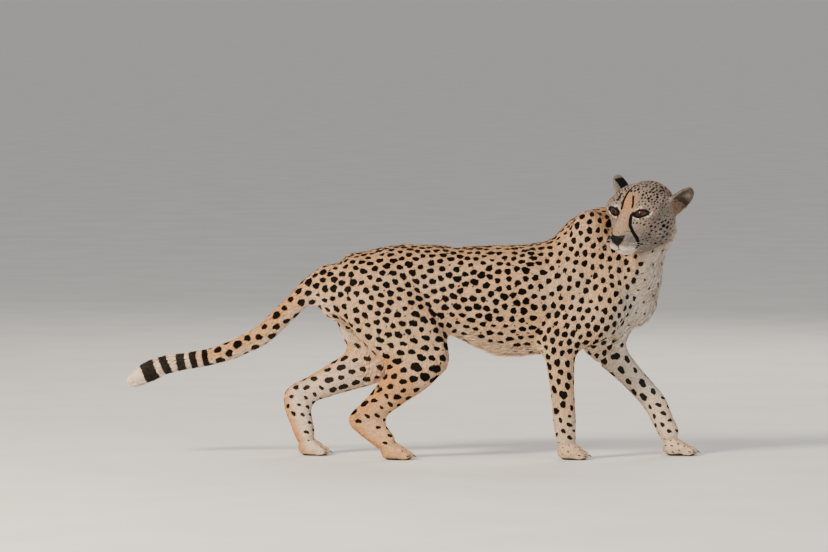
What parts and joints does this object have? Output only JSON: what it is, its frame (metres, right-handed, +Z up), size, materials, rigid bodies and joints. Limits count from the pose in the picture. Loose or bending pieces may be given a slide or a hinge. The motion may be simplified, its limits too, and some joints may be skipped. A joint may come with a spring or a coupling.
{
  "type": "life-size cheetah model",
  "caption": "Still, life-size adult cheetah, walking with its head turned back over its right shoulder and its tail hanging low behind it.",
  "frame": {"origin": "on the floor, under the middle of the animal's box", "axes": "+X the way the animal walks, +Y its left side, +Z up"},
  "size_m": [1.6097, 0.3425, 0.7955],
  "materials": {
    "coat": "short tawny fur with black spots",
    "eyes": "wet amber"
  },
  "bodies": {
    "root": {"head": "coat", "ear_left": "coat", "ear_right": "coat", "eye_left": "eyes", "eye_right": "eyes", "neck": "coat", "trunk": "coat", "tail_base": "coat", "tail_middle": "coat", "tail_tip": "coat", "leg_fore_left_upper": "coat", "leg_fore_left_lower": "coat", "leg_fore_left_paw": "coat", "leg_fore_right_upper": "coat", "leg_fore_right_lower": "coat", "leg_fore_right_paw": "coat", "leg_hind_left_upper": "coat", "leg_hind_left_lower": "coat", "leg_hind_left_paw": "coat", "leg_hind_right_upper": "coat", "leg_hind_right_lower": "coat", "leg_hind_right_paw": "coat"}
  },
  "joints": []
}
